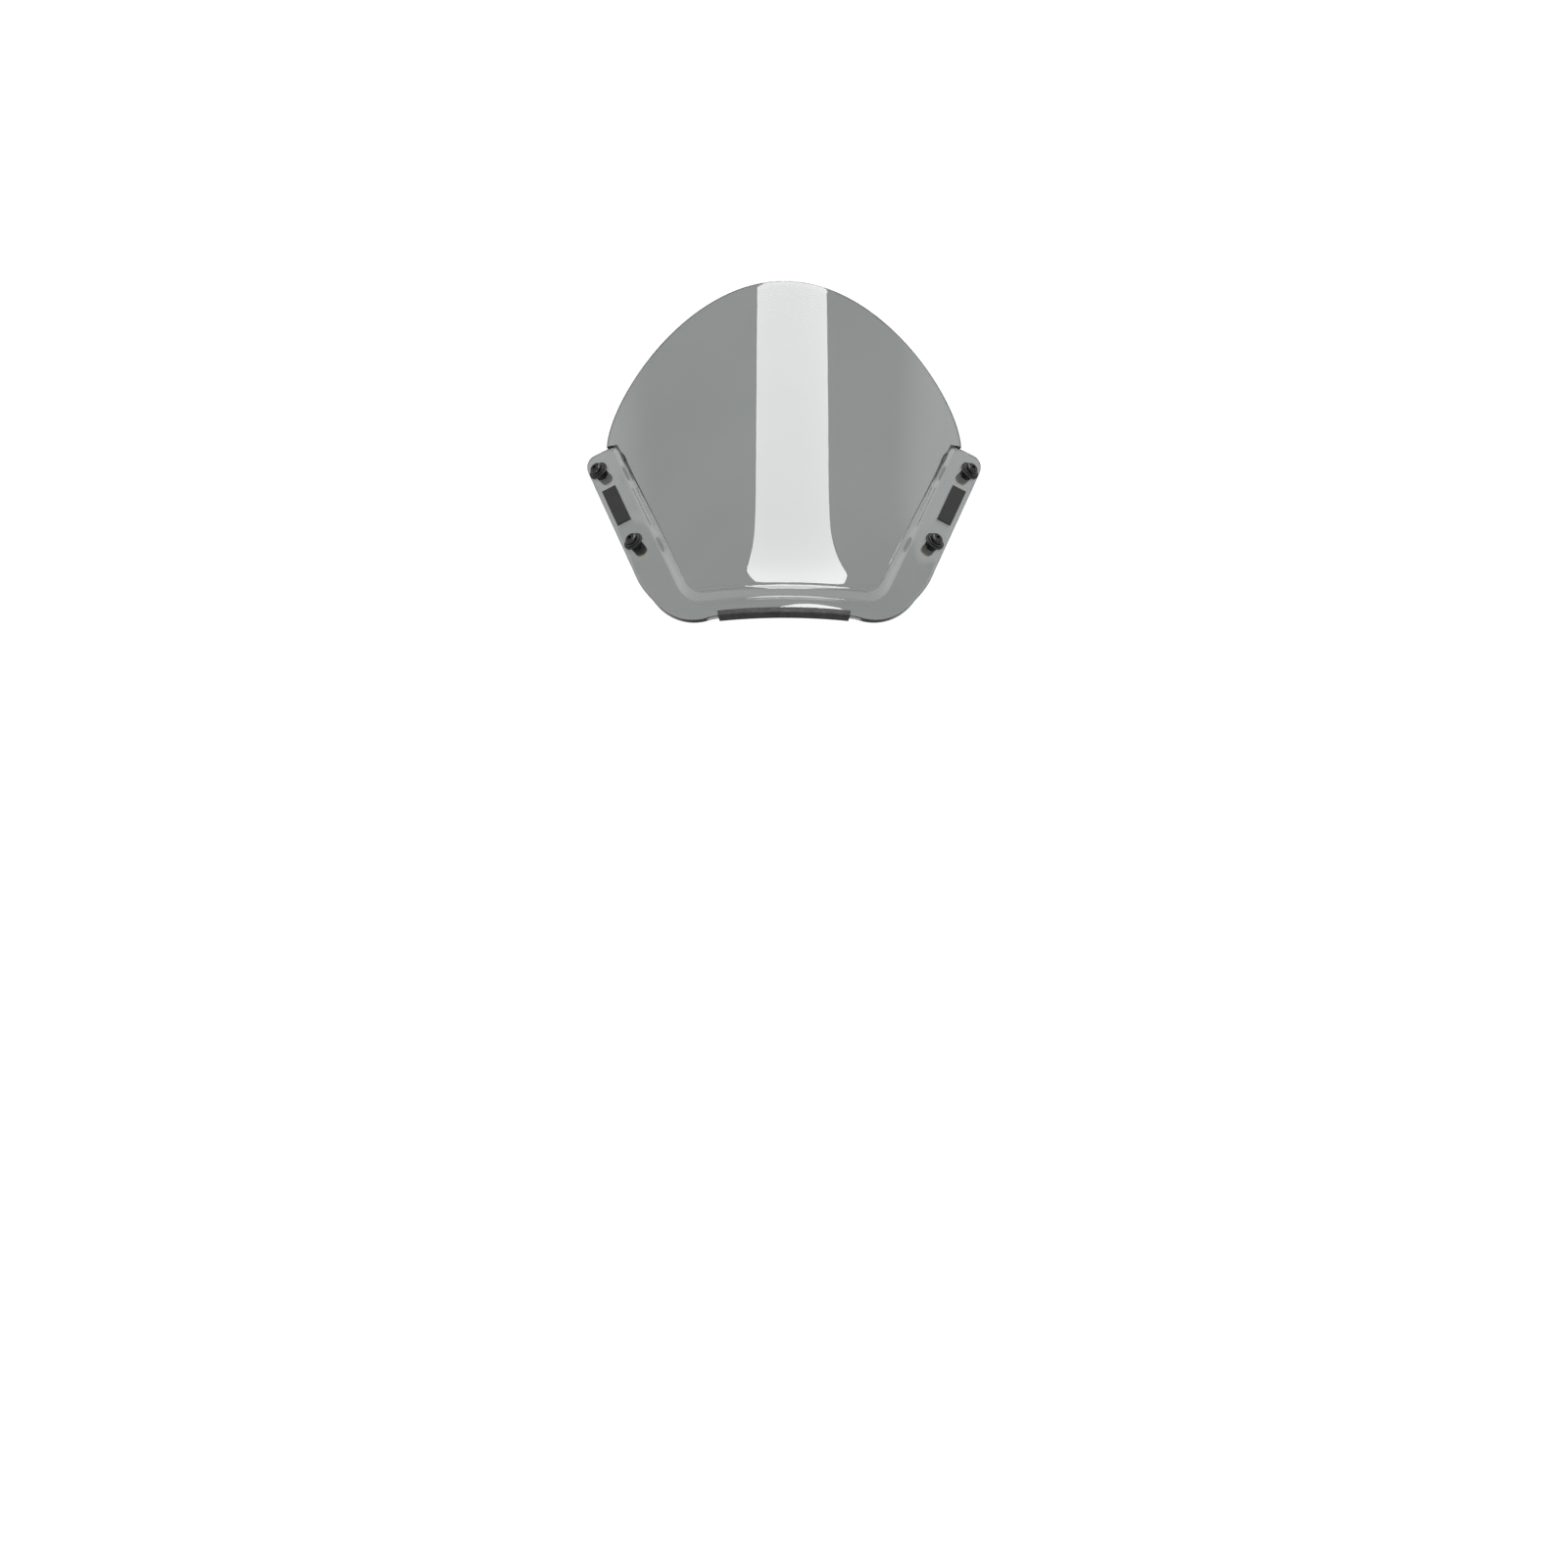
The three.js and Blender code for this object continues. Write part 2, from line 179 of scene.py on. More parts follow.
def flange_width(run):
    length = np.abs(run)
    full = LIP_WIDTH + (WING_WIDTH - LIP_WIDTH) * smooth(length, WING_START, WING_FULL)
    short = np.maximum(WING_ROUND - (SEAM_HALF - length), 0)
    return full - WING_ROUND + np.sqrt(np.maximum(WING_ROUND**2 - short**2, 0))


def sheet_middle(run, across):
    """Middle of the sheet: across is -1 at the flange's edge, 0 at the seam, 1 on the riser's top
    and 2 at the free edge."""
    run, across = np.broadcast_arrays(np.asarray(run, float), np.asarray(across, float))
    line_x, line_z, in_x, in_z = seam_at(run)
    share = np.maximum(np.abs(run) - FOOT_RUN, 0) / (SEAM_HALF - FOOT_RUN)
    width = RISER_FOOT[0] + share * (RISER_TIP[0] - RISER_FOOT[0])
    step = RISER_FOOT[1] + share * (RISER_TIP[1] - RISER_FOOT[1])
    inward = np.where(across < 0, across * flange_width(run), np.minimum(across, 1) * width)
    x = line_x + in_x * inward
    z = line_z + in_z * inward
    edge_x, edge_z = free_edge_at(run)
    fan = np.maximum(across - 1, 0)
    beyond_crest = fan * np.hypot(edge_x - x, edge_z - z)
    crest = smooth(across, 0, 1) * (1 - smooth(beyond_crest, 0, CREST_REACH))
    x = x + fan * (edge_x - x)
    z = z + fan * (edge_z - z)
    y = depth_at(x, z) + step * (1 - smooth(across, 0, 1)) - CREST_RISE * crest
    return np.stack([x, y, z], axis=-1)


def unit(vectors):
    return vectors / np.linalg.norm(vectors, axis=-1, keepdims=True)


PROBE_RUN = 0.2
PROBE_ACROSS = 0.001


def sheet_normal(run, across):
    run, across = np.broadcast_arrays(np.asarray(run, float), np.asarray(across, float))
    before = sheet_middle(np.maximum(run - PROBE_RUN, -SEAM_HALF), across)
    after = sheet_middle(np.minimum(run + PROBE_RUN, SEAM_HALF), across)
    outside = sheet_middle(run, np.maximum(across - PROBE_ACROSS, -1))
    inside = sheet_middle(run, np.minimum(across + PROBE_ACROSS, 2))
    return unit(np.cross(after - before, inside - outside))


def sheet_point(run, across, height):
    return sheet_middle(run, across) + sheet_normal(run, across) * height


ORIGIN = sheet_point(0.0, -LIP_SEAT / LIP_WIDTH, SHEET / 2)


def to_frame(points):
    """From the sheet's millimetres to the row frame's metres."""
    return (np.asarray(points) - ORIGIN) * MM


# ---------------------------------------------------------------- mesh helpers


def new_object(name, mesh):
    piece = bpy.data.objects.new(name, mesh)
    bpy.context.scene.collection.objects.link(piece)
    return piece


def mesh_from(name, points, faces, sharp=None):
    """A smooth mesh, with edges sharper than the given angle in degrees kept crisp."""
    mesh = bpy.data.meshes.new(name)
    mesh.from_pydata([tuple(point) for point in points], [], faces)
    build = bmesh.new()
    build.from_mesh(mesh)
    bmesh.ops.remove_doubles(build, verts=build.verts, dist=1e-7)
    bmesh.ops.dissolve_degenerate(build, edges=build.edges, dist=1e-8)
    bmesh.ops.recalc_face_normals(build, faces=build.faces)
    build.to_mesh(mesh)
    build.free()
    mesh.shade_smooth()
    if sharp is not None:
        mesh.set_sharp_from_angle(angle=math.radians(sharp))
    return mesh


def grid_faces(columns, rows, start=0, wrap_columns=False, wrap_rows=False, flip=False):
    faces = []
    for column in range(columns if wrap_columns else columns - 1):
        for row in range(rows if wrap_rows else rows - 1):
            next_column = (column + 1) % columns
            next_row = (row + 1) % rows
            corners = [
                start + column * rows + row,
                start + next_column * rows + row,
                start + next_column * rows + next_row,
                start + column * rows + next_row,
            ]
            faces.append(corners[::-1] if flip else corners)
    return faces


def round_over(distance, radius, half):
    """Half thickness of a slab at a distance in from its edge, which is rounded."""
    share = np.clip(distance / radius, 0, 1)
    return half - radius + radius * np.sqrt(1 - (1 - share) ** 2)


def along(points, axis):
    """Length from the first point to each point of a grid, along one axis."""
    step = np.linalg.norm(np.diff(points, axis=axis), axis=-1)
    first = np.zeros_like(np.take(step, [0], axis=axis))
    return np.concatenate([first, np.cumsum(step, axis=axis)], axis=axis)


def edge_distance(points):
    """How far each point of a grid lies in from the grid's own outline."""
    distances = []
    for axis in (0, 1):
        length = along(points, axis)
        total = np.take(length, [-1], axis=axis)
        distances += [length, total - length]
    return np.minimum.reduce(distances)


def rounded_slab(name, middle, normal, half, radius, lift=0.0):
    """A closed slab on a grid of points, with rounded edges, lifted along the normals."""
    columns, rows = middle.shape[:2]
    thickness = round_over(edge_distance(middle), radius, half)[..., None]
    upper = (middle + normal * (lift + thickness)).reshape(-1, 3)
    lower = (middle + normal * (lift - thickness)).reshape(-1, 3)
    faces = grid_faces(columns, rows) + grid_faces(columns, rows, columns * rows, flip=True)
    if radius < half:
        ring = (
            [(column, 0) for column in range(columns)]
            + [(columns - 1, row) for row in range(1, rows)]
            + [(column, rows - 1) for column in range(columns - 2, -1, -1)]
            + [(0, row) for row in range(rows - 2, 0, -1)]
        )
        flat = [column * rows + row for column, row in ring]
        count = columns * rows
        for first, second in zip(flat, flat[1:] + flat[:1]):
            faces.append([second, first, first + count, second + count])
    return mesh_from(name, to_frame(np.concatenate([upper, lower])), faces)


def eased(count, radius):
    """Distances in from a rounded edge, close together where the round is steep."""
    angles = np.linspace(0, math.pi / 2, count + 1)
    return radius * (1 - np.cos(angles))


def turned(profile, segments):
    """Points and faces of a closed ring section turned about +Z, from (radius, height) pairs."""
    angles = np.linspace(0, 2 * math.pi, segments, endpoint=False)
    radii = np.array([radius for radius, _ in profile])
    heights = np.array([height for _, height in profile])
    points = np.stack(
        [
            np.outer(np.cos(angles), radii),
            np.outer(np.sin(angles), radii),
            np.tile(heights, (segments, 1)),
        ],
        axis=-1,
    )
    return points, grid_faces(segments, len(profile), wrap_columns=True, wrap_rows=True)


def arc(centre, radius, start, end, count=6):
    """(radius, height) pairs round part of a circle, with angles in degrees from outwards."""
    angles = np.radians(np.linspace(start, end, count + 1))
    return [(centre[0] + radius * math.cos(a), centre[1] + radius * math.sin(a)) for a in angles]


# ---------------------------------------------------------------- materials


def tree_of(name):
    material = bpy.data.materials.new(name)
    material.use_nodes = True
    tree = material.node_tree
    return material, tree, tree.nodes["Principled BSDF"]


def node(tree, kind, **settings):
    made = tree.nodes.new(kind)
    for key, value in settings.items():
        if key in made.inputs:
            made.inputs[key].default_value = value
        else:
            setattr(made, key, value)
    return made


def object_noise(tree, scale, detail=4.0, roughness=0.55, stretch=None):
    """Noise fixed to the object, with an optional stretch along its axes."""
    place = node(tree, "ShaderNodeTexCoord").outputs["Object"]
    if stretch is not None:
        mapping = node(tree, "ShaderNodeMapping", Scale=stretch)
        tree.links.new(place, mapping.inputs["Vector"])
        place = mapping.outputs["Vector"]
    noise = node(tree, "ShaderNodeTexNoise", Scale=scale, Detail=detail, Roughness=roughness)
    tree.links.new(place, noise.inputs["Vector"])
    return noise.outputs["Fac"]


def ramp(tree, source, low, high, start=0.35, end=0.65):
    """A colour or grey that runs from low to high as source goes from start to end."""
    made = node(tree, "ShaderNodeValToRGB")
    for element, place, value in zip(made.color_ramp.elements, (start, end), (low, high)):
        element.position = place
        element.color = (value, value, value, 1) if isinstance(value, float) else (*value, 1)
    tree.links.new(source, made.inputs["Fac"])
    return made.outputs["Color"]


def bump(tree, shader, source, distance, strength=1.0, under=None):
    made = node(tree, "ShaderNodeBump", Strength=strength, Distance=distance)
    tree.links.new(source, made.inputs["Height"])
    if under is not None:
        tree.links.new(under, made.inputs["Normal"])
    tree.links.new(made.outputs["Normal"], shader.inputs["Normal"])
    return made.outputs["Normal"]


def acrylic_material():
    """Light smoke acrylic: clear, glossy, with the faint ripple that forming leaves."""
    material, tree, shader = tree_of("acrylic")
    shader.inputs["Transmission Weight"].default_value = 1.0
    shader.inputs["IOR"].default_value = 1.49
    shader.inputs["Roughness"].default_value = 0.0
    tint = ramp(tree, object_noise(tree, 6.0, 2.0), (0.251, 0.266, 0.261), (0.268, 0.283, 0.277))
    tree.links.new(tint, shader.inputs["Base Color"])
    ripple = bump(tree, shader, object_noise(tree, 14.0, 1.0), 0.00008)
    scratches = object_noise(tree, 900.0, 3.0, stretch=(1.0, 0.05, 0.05))
    bump(tree, shader, scratches, 0.0000002, under=ripple)
    return material


def rubber_material():
    material, tree, shader = tree_of("rubber")
    colour = ramp(tree, object_noise(tree, 160.0), (0.0075, 0.0075, 0.0078), (0.017, 0.017, 0.0165))
    tree.links.new(colour, shader.inputs["Base Color"])
    tree.links.new(ramp(tree, object_noise(tree, 420.0), 0.55, 0.8), shader.inputs["Roughness"])
    shader.inputs["Specular IOR Level"].default_value = 0.4
    bump(tree, shader, object_noise(tree, 1500.0, 6.0), 0.00004)
    return material


def foam_material():
    material, tree, shader = tree_of("foam")
    place = node(tree, "ShaderNodeTexCoord").outputs["Object"]
    cells = node(tree, "ShaderNodeTexVoronoi", Scale=2200.0)
    tree.links.new(place, cells.inputs["Vector"])
    shades = ((0.010, 0.010, 0.011), (0.030, 0.030, 0.031))
    colour = ramp(tree, cells.outputs["Distance"], *shades, start=0.1, end=0.6)
    tree.links.new(colour, shader.inputs["Base Color"])
    shader.inputs["Roughness"].default_value = 0.95
    shader.inputs["Specular IOR Level"].default_value = 0.25
    bump(tree, shader, cells.outputs["Distance"], 0.0003)
    return material


def nylon_material():
    material, tree, shader = tree_of("nylon")
    colour = ramp(tree, object_noise(tree, 240.0), (0.012, 0.0122, 0.013), (0.021, 0.0212, 0.022))
    tree.links.new(colour, shader.inputs["Base Color"])
    tree.links.new(ramp(tree, object_noise(tree, 700.0), 0.34, 0.5), shader.inputs["Roughness"])
    bump(tree, shader, object_noise(tree, 2600.0, 5.0), 0.000015)
    return material


def brass_material():
    material, tree, shader = tree_of("brass")
    shader.inputs["Metallic"].default_value = 1.0
    colour = ramp(tree, object_noise(tree, 320.0, 6.0), (0.50, 0.33, 0.13), (0.78, 0.58, 0.28))
    tree.links.new(colour, shader.inputs["Base Color"])
    tree.links.new(ramp(tree, object_noise(tree, 900.0), 0.22, 0.42), shader.inputs["Roughness"])
    bump(tree, shader, object_noise(tree, 3000.0, 4.0), 0.00001)
    return material


def black_steel_material():
    """Black oxide steel, rubbed to bare metal along its edges."""
    material, tree, shader = tree_of("black_steel")
    shader.inputs["Metallic"].default_value = 0.85
    worn = ramp(tree, node(tree, "ShaderNodeNewGeometry").outputs["Pointiness"], 0.0, 1.0, 0.53, 0.62)
    patches = ramp(tree, object_noise(tree, 700.0, 5.0), 0.25, 1.0)
    rubbed = node(tree, "ShaderNodeMath", operation="MULTIPLY")
    tree.links.new(worn, rubbed.inputs[0])
    tree.links.new(patches, rubbed.inputs[1])
    black = ramp(tree, object_noise(tree, 500.0), (0.018, 0.018, 0.020), (0.040, 0.040, 0.043))
    mix = node(tree, "ShaderNodeMix", data_type="RGBA")
    colours = [socket for socket in mix.inputs if socket.type == "RGBA"]
    colours[1].default_value = (0.30, 0.29, 0.28, 1)
    tree.links.new(rubbed.outputs[0], mix.inputs["Factor"])
    tree.links.new(black, colours[0])
    result = [socket for socket in mix.outputs if socket.type == "RGBA"][0]
    tree.links.new(result, shader.inputs["Base Color"])
    tree.links.new(ramp(tree, object_noise(tree, 1100.0), 0.28, 0.46), shader.inputs["Roughness"])
    bump(tree, shader, object_noise(tree, 2400.0, 5.0), 0.00001)
    return material


# ---------------------------------------------------------------- camera, lights and stage

VIEW_ELEVATION = math.radians(4.0)
VIEW_DISTANCE = 4.8
LIP_ABOVE_AXIS = 0.1318
LENS = 154.0


def make_camera():
    data = bpy.data.cameras.new("camera")
    data.lens = LENS
    data.sensor_width = 36.0
    data.clip_end = 500.0
    camera = bpy.data.objects.new("camera", data)
    bpy.context.scene.collection.objects.link(camera)
    forward = Vector((0, math.cos(VIEW_ELEVATION), -math.sin(VIEW_ELEVATION)))
    up = Vector((0, math.sin(VIEW_ELEVATION), math.cos(VIEW_ELEVATION)))
    seam_middle = Vector(to_frame((0, 0, 0)))
    camera.location = seam_middle - up * LIP_ABOVE_AXIS - forward * VIEW_DISTANCE
    camera.rotation_euler = forward.to_track_quat("-Z", "Y").to_euler()
    bpy.context.scene.camera = camera


SOFTBOX_PLACE = (0.165, 0.32, 2.4)
SOFTBOX_HALF_WIDTH = 0.775
SOFTBOX_FRONT = -3.0
SOFTBOX_REAR = 0.70
SOFTBOX_SLANT = 0.18
SOFTBOX_ROUND = 0.20
SOFTBOX_LIGHT = 8.9
CEILING_HEIGHT = 2.6
CEILING_REACH = 3.6
CEILING_SHIFT = -0.12
CEILING_STRETCH = 0.3
CEILING_DARK = (2.15, 2.6)
CEILING_LIGHT = 0.1
FLOOR_DEPTH = 0.95
FLOOR_REACH = 12.0
FLOOR_GLOW = 0.01
DAYLIGHT = 1.06


def light_material(name):
    """An emitting material, with its tree and its emission node."""
    material = bpy.data.materials.new(name)
    material.use_nodes = True
    tree = material.node_tree
    tree.nodes.remove(tree.nodes["Principled BSDF"])
    light = node(tree, "ShaderNodeEmission")
    tree.links.new(light.outputs["Emission"], tree.nodes["Material Output"].inputs["Surface"])
    return material, tree, light


def reflected_only(name, mesh, material):
    """A stage object that shows only in glossy reflections."""
    mesh.materials.append(material)
    card = new_object(name, mesh)
    card.visible_camera = False
    card.visible_transmission = False
    card.visible_diffuse = False


def make_softbox():
    """The long light overhead, whose reflection is the pale band down the bubble."""
    half = SOFTBOX_HALF_WIDTH
    across = half * np.sin(np.linspace(-math.pi / 2, math.pi / 2, 49))
    beyond = np.maximum(np.abs(across) - half + SOFTBOX_ROUND, 0)
    drop = SOFTBOX_ROUND - np.sqrt(np.maximum(SOFTBOX_ROUND**2 - beyond**2, 0))
    rear = SOFTBOX_REAR + SOFTBOX_SLANT * across - drop
    outline = [(x, y, 0.0) for x, y in zip(across, rear)]
    outline += [(half, SOFTBOX_FRONT, 0.0), (-half, SOFTBOX_FRONT, 0.0)]
    mesh = bpy.data.meshes.new("softbox")
    mesh.from_pydata(outline, [], [list(range(len(outline)))])
    mesh.transform(Matrix.Translation(SOFTBOX_PLACE))
    material, tree, light = light_material("softbox")
    light.inputs["Strength"].default_value = SOFTBOX_LIGHT
    reflected_only("softbox", mesh, material)


def square_mesh(name, reach, height, shift=0.0):
    """A level square that reaches as far on each side of its middle."""
    corners = [(shift + x * reach, y * reach, height) for x, y in ((-1, -1), (1, -1), (1, 1), (-1, 1))]
    mesh = bpy.data.meshes.new(name)
    mesh.from_pydata(corners, [], [(0, 1, 2, 3)])
    return mesh


def make_ceiling():
    """A dark ceiling round the softbox, which fades to the daylight of the walls at its sides."""
    mesh = square_mesh("ceiling", CEILING_REACH, CEILING_HEIGHT, CEILING_SHIFT)
    material, tree, light = light_material("ceiling")
    place = node(tree, "ShaderNodeTexCoord").outputs["Object"]
    flat = node(
        tree, "ShaderNodeMapping", Location=(-CEILING_SHIFT, 0, 0), Scale=(1, CEILING_STRETCH, 0)
    )
    tree.links.new(place, flat.inputs["Vector"])
    distance = node(tree, "ShaderNodeVectorMath", operation="LENGTH")
    tree.links.new(flat.outputs["Vector"], distance.inputs[0])
    fade = node(tree, "ShaderNodeMapRange", interpolation_type="SMOOTHSTEP")
    for edge, distance_out, strength in zip(("Min", "Max"), CEILING_DARK, (CEILING_LIGHT, DAYLIGHT)):
        fade.inputs[f"From {edge}"].default_value = distance_out
        fade.inputs[f"To {edge}"].default_value = strength
    tree.links.new(distance.outputs["Value"], fade.inputs["Value"])
    tree.links.new(fade.outputs["Result"], light.inputs["Strength"])
    reflected_only("ceiling", mesh, material)


def make_floor():
    """A pale floor, which glows just enough to be as bright as the world behind it."""
    mesh = square_mesh("floor", FLOOR_REACH, -FLOOR_DEPTH)
    floor = new_object("floor", mesh)
    material, tree, shader = tree_of("floor")
    pale = ramp(tree, object_noise(tree, 0.8), 0.985, 0.995)
    tree.links.new(pale, shader.inputs["Base Color"])
    shader.inputs["Emission Color"].default_value = (1, 1, 1, 1)
    shader.inputs["Emission Strength"].default_value = FLOOR_GLOW * DAYLIGHT
    shader.inputs["Roughness"].default_value = 0.9
    shader.inputs["Specular IOR Level"].default_value = 0.0
    mesh.materials.append(material)


def make_world():
    world = bpy.data.worlds.new("studio")
    world.use_nodes = True
    background = world.node_tree.nodes["Background"]
    background.inputs["Color"].default_value = (1, 1, 1, 1)
    background.inputs["Strength"].default_value = DAYLIGHT
    bpy.context.scene.world = world
    bpy.context.scene.view_settings.view_transform = "Standard"
    bpy.context.scene.view_settings.look = "None"


# ---------------------------------------------------------------- the sheet

EDGE_STEPS = 5
FOOT_STEPS = 30
CORNER_STEPS = 18
SIDE_STEPS = 44
ROUND_STEPS = 10
FLANGE_ROWS = 12
RISER_ROWS = 24
CREST_ROWS = 16
BUBBLE_ROWS = 54
SLANT = 1.7  # length along the sheet for one of the same front view, near its edges


def sheet_runs():
    tips = np.linspace(0, math.pi / 2, ROUND_STEPS + 1)[1:]
    ends = SEAM_HALF - eased(EDGE_STEPS, EDGE_ROUND)[::-1] / SLANT
    round_part = SEAM_HALF - WING_ROUND + WING_ROUND * np.sin(tips)
    half = np.concatenate(
        [
            np.linspace(0, FOOT_RUN, FOOT_STEPS + 1),
            np.linspace(FOOT_RUN, SIDE_START, CORNER_STEPS + 1)[1:],
            np.linspace(SIDE_START, SEAM_HALF - WING_ROUND, SIDE_STEPS + 1)[1:],
            round_part[round_part < ends[0] - 0.2],
            ends,
        ]
    )
    return np.concatenate([-half[:0:-1], half])


def sheet_across(runs):
    """Rows of the sheet, closer together at both edges and on the riser."""
    edge = eased(EDGE_STEPS, EDGE_ROUND)
    rows = []
    for run in runs:
        flange = edge / SLANT / flange_width(run)
        start = sheet_middle(run, 1.0)
        end = sheet_middle(run, 2.0)
        length = np.linalg.norm(end - start)
        bubble = edge / length
        crest = 1 + 2 * CREST_REACH / length
        rows.append(
            np.concatenate(
                [
                    -1 + flange,
                    np.linspace(-1 + flange[-1], 0, FLANGE_ROWS + 1)[1:],
                    np.linspace(0, 1, RISER_ROWS + 1)[1:],
                    np.linspace(1, crest, CREST_ROWS + 1)[1:],
                    np.linspace(crest, 2 - bubble[-1], BUBBLE_ROWS + 1)[1:],
                    2 - bubble[-2::-1],
                ]
            )
        )
    return np.array(rows)


def hole_cutter(joint):
    """A drill for one fixing hole, which also breaks the hole's two edges."""
    reach = 2 * SHEET
    chamfer = HOLE_CHAMFER
    profile = [
        (0.0, -reach),
        (HOLE_RADIUS + reach - SHEET / 2, -reach),
        (HOLE_RADIUS + chamfer, -SHEET / 2),
        (HOLE_RADIUS, -SHEET / 2 + chamfer),
        (HOLE_RADIUS, SHEET / 2 - chamfer),
        (HOLE_RADIUS + chamfer, SHEET / 2),
        (HOLE_RADIUS + reach - SHEET / 2, reach),
        (0.0, reach),
    ]
    profile = [(radius, height - SHEET / 2) for radius, height in profile]
    points, faces = turned(profile, 48)
    return stood_on(joint, mesh_from("cutter", points.reshape(-1, 3) * MM, faces))


def stood_on(joint, mesh):
    """Moves a mesh made about +Z to a joint's place, along its axis."""
    axis = Vector(joint["axis"])
    turn = Vector((0, 0, 1)).rotation_difference(axis).to_matrix().to_4x4()
    mesh.transform(Matrix.Translation(Vector(joint["pos_m"])) @ turn)
    return mesh


def make_screen(material):
    runs = sheet_runs()
    across = sheet_across(runs)
    columns = runs[:, None]
    middle = sheet_middle(columns, across)
    normal = sheet_normal(columns, across)
    mesh = rounded_slab("windshield_screen_clear", middle, normal, SHEET / 2, EDGE_ROUND)
    piece = new_object("windshield_screen_clear", mesh)
    cutters = [hole_cutter(JOINTS[name]) for name in JOINTS if name.startswith("screw_turn")]
    for index, cutter_mesh in enumerate(cutters):
        cutter = new_object(f"cutter_{index}", cutter_mesh)
        boolean = piece.modifiers.new("hole", "BOOLEAN")
        boolean.operation = "DIFFERENCE"
        boolean.solver = "MANIFOLD"
        boolean.object = cutter
    graph = bpy.context.evaluated_depsgraph_get()
    drilled = bpy.data.meshes.new_from_object(piece.evaluated_get(graph))
    piece.modifiers.clear()
    piece.data = drilled
    for index in range(len(cutters)):
        bpy.data.objects.remove(bpy.data.objects[f"cutter_{index}"])
    drilled.shade_smooth()
    drilled.set_sharp_from_angle(angle=math.radians(30))
    drilled.materials.clear()
    drilled.materials.append(material)
    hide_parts("windshield_screen")
    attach(piece, "screen")


# ---------------------------------------------------------------- the fixings

# heights are in millimetres above the sheet's outer face, along each joint's axis

GAP = 0.3
COLLAR_RADIUS = 7.5
COLLAR_TOP = 1.8
SLEEVE_RADIUS = 4.7
SLEEVE_END = -11.7
SLEEVE_BORE = 2.9
RIB_PITCH = 1.5
RIB_DEPTH = 0.12
INSERT_RADIUS = 3.5
INSERT_BORE = 2.62
INSERT_TOP = -5.3
INSERT_RIM_RADIUS = 4.5
INSERT_RIM_TOP = -12.0
INSERT_END = -13.2
KNURLS = 36
WASHER_FOOT = 2.1
WASHER_TOP = 3.1
WASHER_RADIUS = 6.0
WASHER_BORE = 2.8
HEAD_FOOT = 3.4
HEAD_RADIUS = 4.75
HEAD_HEIGHT = 2.75
HEAD_RIM = 0.7
HEAD_CROWN = 2.3
HEAD_NECK = 1.0
HEAD_EDGE = 0.2
THREAD_RADIUS = 2.48
THREAD_DEPTH = 0.42
THREAD_PITCH = 0.8
THREAD_LEAD = 1.2
SCREW_END = -12.6
SOCKET_FLAT = 1.5
SOCKET_DEPTH = 1.6
SOCKET_LIP = 0.12
SOCKET_POINT_RADIUS = 0.9
SOCKET_POINT_DEPTH = 0.35
SEGMENTS = 64


def finish_piece(name, mesh, material, body, cad_node):
    piece = new_object(name, mesh)
    mesh.materials.clear()
    mesh.materials.append(material)
    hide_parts(cad_node)
    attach(piece, body)
    return piece


def rubber_mesh(joint):
    """Well nut: a collar over a sleeve that is ribbed where it grips the insert."""
    soft = 0.5
    profile = [(SLEEVE_BORE, COLLAR_TOP - soft)]
    profile += arc((SLEEVE_BORE + soft, COLLAR_TOP - soft), soft, 180, 90)
    profile += arc((COLLAR_RADIUS - soft, COLLAR_TOP - soft), soft, 90, 0)
    profile += arc((COLLAR_RADIUS - soft, GAP + soft), soft, 0, -90)
    profile += [(SLEEVE_RADIUS, GAP)]
    for height in np.linspace(GAP - SHEET - RIB_PITCH, SLEEVE_END + 2 * soft, 37):
        groove = (1 - math.cos(height * 2 * math.pi / RIB_PITCH)) / 2
        profile.append((SLEEVE_RADIUS - RIB_DEPTH * groove, height))
    profile += arc((SLEEVE_RADIUS - soft, SLEEVE_END + soft), soft, 0, -90)
    profile += [(INSERT_RADIUS + GAP, SLEEVE_END), (INSERT_RADIUS + GAP, INSERT_TOP + GAP)]
    profile += [(SLEEVE_BORE, INSERT_TOP + GAP)]
    points, faces = turned(profile, SEGMENTS)
    return stood_on(joint, mesh_from("rubber", points.reshape(-1, 3) * MM, faces, 40))


def insert_mesh(joint):
    """Brass insert, with a rim knurled round its edge."""
    edge = 0.15
    profile = [
        (INSERT_BORE, INSERT_TOP - edge),
        (INSERT_BORE + edge, INSERT_TOP),
        (INSERT_RADIUS - edge, INSERT_TOP),
        (INSERT_RADIUS, INSERT_TOP - edge),
        (INSERT_RADIUS, INSERT_RIM_TOP),
        (INSERT_RIM_RADIUS - edge, INSERT_RIM_TOP),
        (INSERT_RIM_RADIUS, INSERT_RIM_TOP - edge),
        (INSERT_RIM_RADIUS, INSERT_END + edge),
        (INSERT_RIM_RADIUS - edge, INSERT_END),
        (INSERT_BORE + 2 * edge, INSERT_END),
        (INSERT_BORE, INSERT_END + 2 * edge),
    ]
    points, faces = turned(profile, 4 * KNURLS)
    angles = np.arange(4 * KNURLS) * 2 * math.pi / (4 * KNURLS)
    ripple = 1 - 0.012 * (1 + np.cos(angles * KNURLS)) / 2
    for index in (6, 7):
        points[:, index, :2] *= ripple[:, None]
    return stood_on(joint, mesh_from("insert", points.reshape(-1, 3) * MM, faces, 35))


